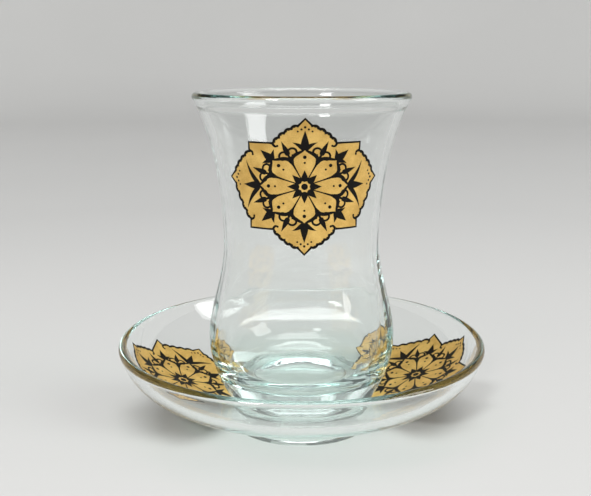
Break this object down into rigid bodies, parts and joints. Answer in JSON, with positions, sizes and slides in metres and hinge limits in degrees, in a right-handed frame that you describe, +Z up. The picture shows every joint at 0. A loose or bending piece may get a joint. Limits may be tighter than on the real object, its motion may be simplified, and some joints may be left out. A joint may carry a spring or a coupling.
{
  "type": "tea glass",
  "caption": "Slim-waisted clear glass tea tumbler with a thick base, standing in its footed glass saucer, both with scalloped gold and black fired medallions.",
  "frame": {"origin": "middle of the saucer's foot ring, on the surface it stands on", "axes": "+Z up along the axis of the tumbler and saucer, -Y towards the tumbler's medallion, +X towards the saucer's right medallion"},
  "size_m": [0.1098, 0.1098, 0.0997],
  "materials": {
    "glass": "fire-polished, clear with a faint green tint",
    "gold_print": "satin fired gold print",
    "black_print": "glossy black fired enamel"
  },
  "bodies": {
    "saucer": {"saucer": "glass", "saucer_right_medallion_ground": "gold_print", "saucer_right_medallion_border": "black_print", "saucer_right_medallion_ornament": "black_print", "saucer_left_medallion_ground": "gold_print", "saucer_left_medallion_border": "black_print", "saucer_left_medallion_ornament": "black_print"},
    "tumbler": {"tumbler": "glass", "tumbler_medallion_ground": "gold_print", "tumbler_medallion_border": "black_print", "tumbler_medallion_ornament": "black_print"}
  },
  "joints": [
    {"name": "tumbler_lift", "type": "slide", "parent": "saucer", "child": "tumbler", "axis": [0, 0, 1], "range_m": [0, 0.12]}
  ]
}
